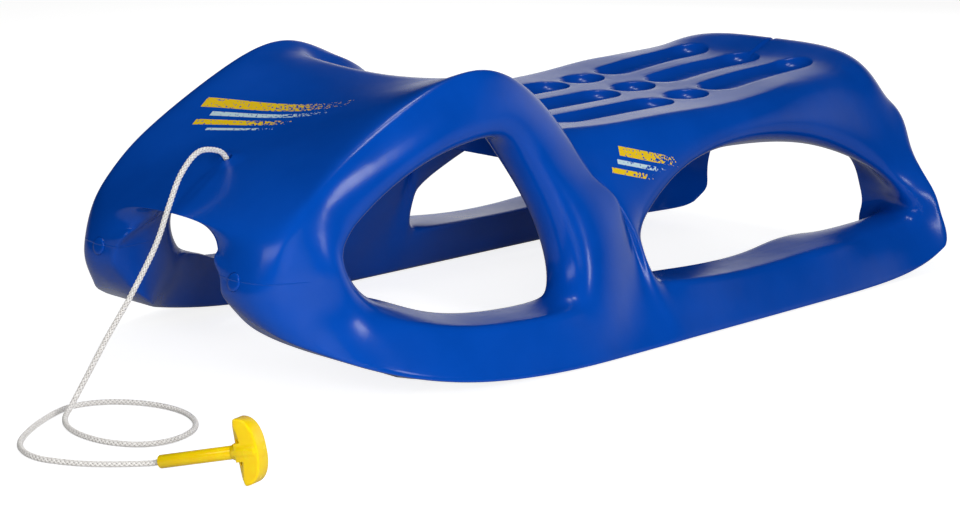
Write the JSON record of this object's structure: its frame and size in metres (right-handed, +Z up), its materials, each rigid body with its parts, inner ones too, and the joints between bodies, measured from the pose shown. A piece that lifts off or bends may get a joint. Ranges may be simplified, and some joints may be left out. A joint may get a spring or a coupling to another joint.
{
  "type": "snow sled",
  "caption": "Child's blow-moulded snow sled with a pierced hood, a dimpled seat deck, steel-shod runners and a knotted tow rope with a T-handle.",
  "frame": {"origin": "on the snow, under the middle of the moulded sled without its rope and handle", "axes": "+Z up, -Y towards the nose, +X towards the rider's left"},
  "size_m": [0.4981, 1.0374, 0.2568],
  "materials": {
    "body_shell": "glossy blue blow-moulded polyethylene",
    "nose_plug": "glossy blue moulded polyethylene",
    "runner_strip": "plain rolled steel strip",
    "strip_screw": "bright zinc plating",
    "rope": "braided off-white polypropylene",
    "handle": "glossy yellow moulded plastic"
  },
  "bodies": {
    "sled": {"body_shell": "body_shell", "nose_plug_left": "nose_plug", "nose_plug_right": "nose_plug", "runner_strip_left": "runner_strip", "runner_strip_right": "runner_strip", "strip_screw_left_1": "strip_screw", "strip_screw_left_2": "strip_screw", "strip_screw_left_3": "strip_screw", "strip_screw_right_1": "strip_screw", "strip_screw_right_2": "strip_screw", "strip_screw_right_3": "strip_screw", "tow_rope": "rope", "hood_knot": "rope", "handle_knot": "rope"},
    "sleeve": {"handle_sleeve": "handle"},
    "crossbar": {"handle_crossbar": "handle"}
  },
  "joints": [
    {"name": "sleeve_slide", "type": "slide", "parent": "sled", "child": "sleeve", "axis": [-0.9031, -0.3548, -0.2419], "range_m": [0, 0.012]},
    {"name": "crossbar_spin", "type": "hinge", "parent": "sled", "child": "crossbar", "pos_m": [0.24858, -0.54098, 0.02434], "axis": [0.9031, 0.3548, 0.2419], "continuous": true}
  ]
}
